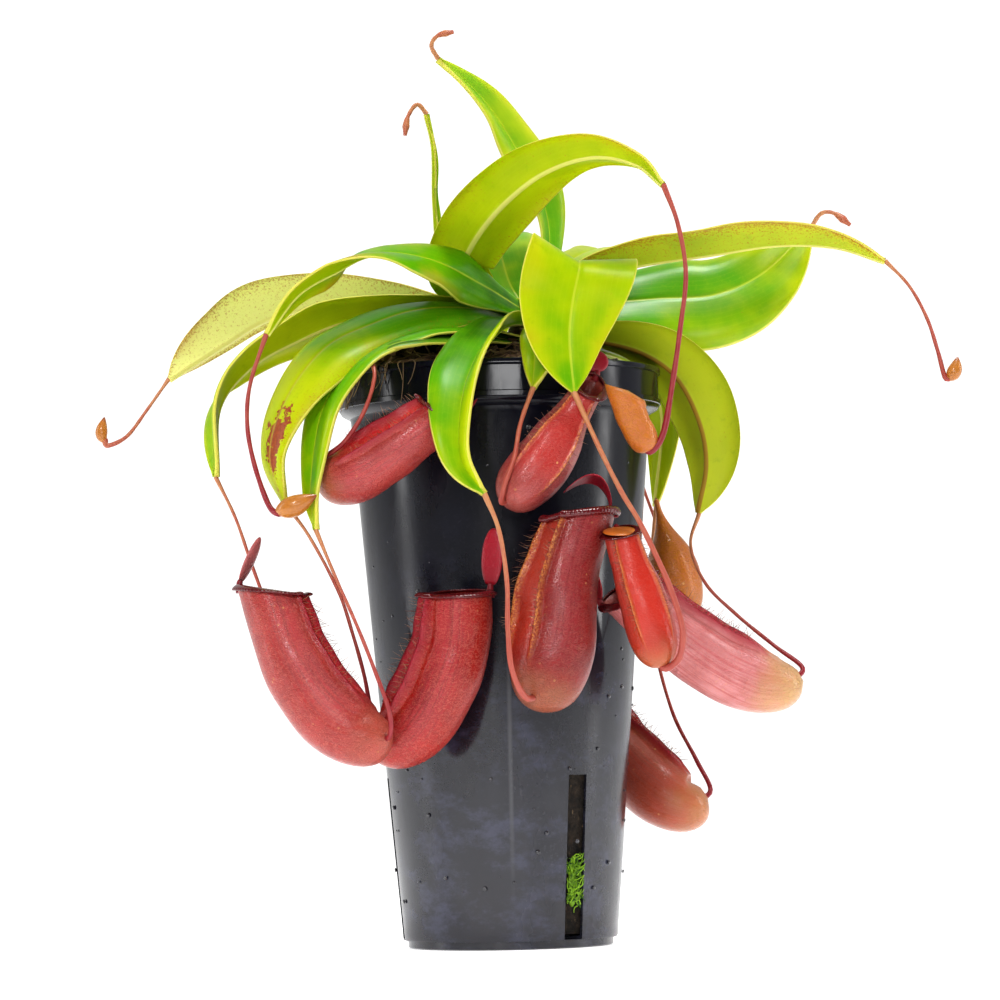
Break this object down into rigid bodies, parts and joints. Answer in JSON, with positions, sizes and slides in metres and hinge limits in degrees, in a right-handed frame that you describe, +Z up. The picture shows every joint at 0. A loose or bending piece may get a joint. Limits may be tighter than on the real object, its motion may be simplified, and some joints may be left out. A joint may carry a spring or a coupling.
{
  "type": "potted pitcher plant",
  "caption": "Tropical pitcher plant with arching leaves, long tendrils and hanging red pitchers, in a tall black plastic nursery pot.",
  "frame": {"origin": "middle of the pot's flat underside, on the surface that the pot stands on", "axes": "+Z up, -Y towards the side with the most pitchers, +X to the right seen from that side"},
  "size_m": [0.2672, 0.17, 0.2858],
  "materials": {
    "pot_plastic": "thin black moulded plastic, satin gloss, dusty",
    "potting_mix": "dark fibrous potting mix with pale roots",
    "stem": "short woody green-brown stem",
    "moss": "green moss",
    "leaf": "waxy yellow-green leaf, pale margins and midrib",
    "tendril": "smooth dark red to peach tendril",
    "pitcher": "red veined pitcher, orange at the foot, dark glossy lip",
    "bud": "small orange-brown closed bud"
  },
  "bodies": {
    "root": {"pot": "pot_plastic", "potting_mix": "potting_mix", "moss_tuft": "moss", "main_stem": "stem", "leaf_back": "leaf", "leaf_back_left": "leaf", "leaf_back_right": "leaf", "leaf_front": "leaf", "leaf_front_inner": "leaf", "leaf_front_left": "leaf", "leaf_left_blotched": "leaf", "leaf_left_far": "leaf", "leaf_left_middle": "leaf", "leaf_left_short": "leaf", "leaf_left_thin": "leaf", "leaf_left_under": "leaf", "leaf_overhead": "leaf", "leaf_right_glossy": "leaf", "leaf_right_low": "leaf", "leaf_right_top": "leaf", "leaf_rolled": "leaf", "leaf_upright": "leaf", "pitcher_back": "pitcher", "pitcher_back_right": "pitcher", "pitcher_front": "pitcher", "pitcher_front_inner": "pitcher", "pitcher_front_left": "pitcher", "pitcher_left_blotched": "pitcher", "pitcher_left_short": "pitcher", "pitcher_left_under": "pitcher", "pitcher_right_low": "pitcher", "bud_back_left": "bud", "bud_left_far": "bud", "bud_left_middle": "bud", "bud_left_thin": "bud", "bud_overhead": "bud", "bud_right_top": "bud", "tendril_back": "tendril", "tendril_back_left": "tendril", "tendril_back_right": "tendril", "tendril_front": "tendril", "tendril_front_inner": "tendril", "tendril_front_left": "tendril", "tendril_left_blotched": "tendril", "tendril_left_far": "tendril", "tendril_left_middle": "tendril", "tendril_left_short": "tendril", "tendril_left_thin": "tendril", "tendril_left_under": "tendril", "tendril_overhead": "tendril", "tendril_right_glossy": "tendril", "tendril_right_low": "tendril", "tendril_right_top": "tendril", "tendril_rolled": "tendril", "tendril_upright": "tendril"}
  },
  "joints": []
}
